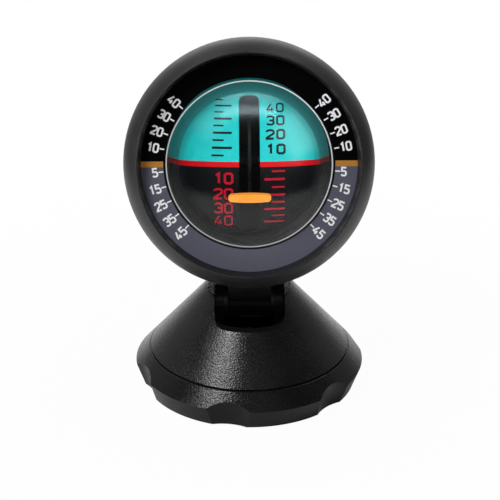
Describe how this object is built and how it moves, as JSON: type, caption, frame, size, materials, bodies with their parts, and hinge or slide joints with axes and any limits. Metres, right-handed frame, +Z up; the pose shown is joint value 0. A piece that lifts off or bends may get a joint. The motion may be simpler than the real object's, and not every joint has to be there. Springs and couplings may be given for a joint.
{
  "type": "ball inclinometer",
  "caption": "Dashboard inclinometer: a ball horizon in a clear dome with a pitch pendulum, on a tilting neck and a swivelling cone base.",
  "frame": {"origin": "middle of the underside of the adhesive pad, on the swivel axis", "axes": "+Z up along the swivel axis; the dial faces -Y and leans back from it; +X is to the right of someone reading the dial"},
  "size_m": [0.073, 0.0766, 0.1051],
  "materials": {
    "case_plastic": "matte",
    "inner_plastic": "matte",
    "dial_face": "matte",
    "clear_plastic": "gloss",
    "ball_teal": "satin",
    "ball_black": "satin",
    "band_red": "satin",
    "marker_orange": "satin",
    "pendulum_sheet": "satin",
    "weight_brass": "satin",
    "screw_steel": "satin",
    "washer_plastic": "satin",
    "seal_rubber": "matte",
    "pad_rubber": "matte"
  },
  "bodies": {
    "root": {"adhesive_pad": "pad_rubber", "base_plate": "inner_plastic", "grip_ring": "case_plastic", "base_screws": "screw_steel", "friction_washer": "washer_plastic", "spring_washer": "screw_steel", "swivel_bolt": "screw_steel"},
    "turret": {"cone_shell": "case_plastic", "turret_yoke": "inner_plastic", "yoke_screws": "screw_steel", "tilt_bolt": "screw_steel", "tilt_nut": "screw_steel", "tilt_washers": "washer_plastic"},
    "head": {"neck": "case_plastic", "neck_screws": "screw_steel", "rear_housing": "case_plastic", "bezel": "case_plastic", "dial_plate": "dial_face", "spacer_ring": "inner_plastic", "capsule_dome": "clear_plastic", "capsule_cup": "inner_plastic", "capsule_seal": "seal_rubber", "capsule_gasket": "seal_rubber", "filler_plug": "seal_rubber", "roll_axle": "screw_steel"},
    "ball": {"upper_shell": "ball_teal", "lower_shell": "ball_black", "horizon_band": "band_red", "roll_frame": "inner_plastic", "roll_ballast": "weight_brass", "roll_bush": "weight_brass", "pitch_axle": "screw_steel"},
    "pendulum": {"pitch_plate": "pendulum_sheet", "pitch_marker": "marker_orange", "pitch_weight": "weight_brass", "weight_rivet": "screw_steel"}
  },
  "joints": [
    {"name": "base_swivel", "type": "hinge", "parent": "root", "child": "turret", "pos_m": [0, 0, 0.0089], "axis": [0, 0, 1], "continuous": true},
    {"name": "head_tilt", "type": "hinge", "parent": "turret", "child": "head", "pos_m": [0, 0, 0.026], "axis": [-1, 0, 0], "range_deg": [-30, 20]},
    {"name": "horizon_roll", "type": "hinge", "parent": "head", "child": "ball", "pos_m": [0, 0.01441, 0.06504], "axis": [0, -0.9304, 0.3665], "continuous": true},
    {"name": "pitch_swing", "type": "hinge", "parent": "ball", "child": "pendulum", "pos_m": [0, 0.01441, 0.06504], "axis": [-1, 0, 0], "range_deg": [-22, 64]}
  ]
}
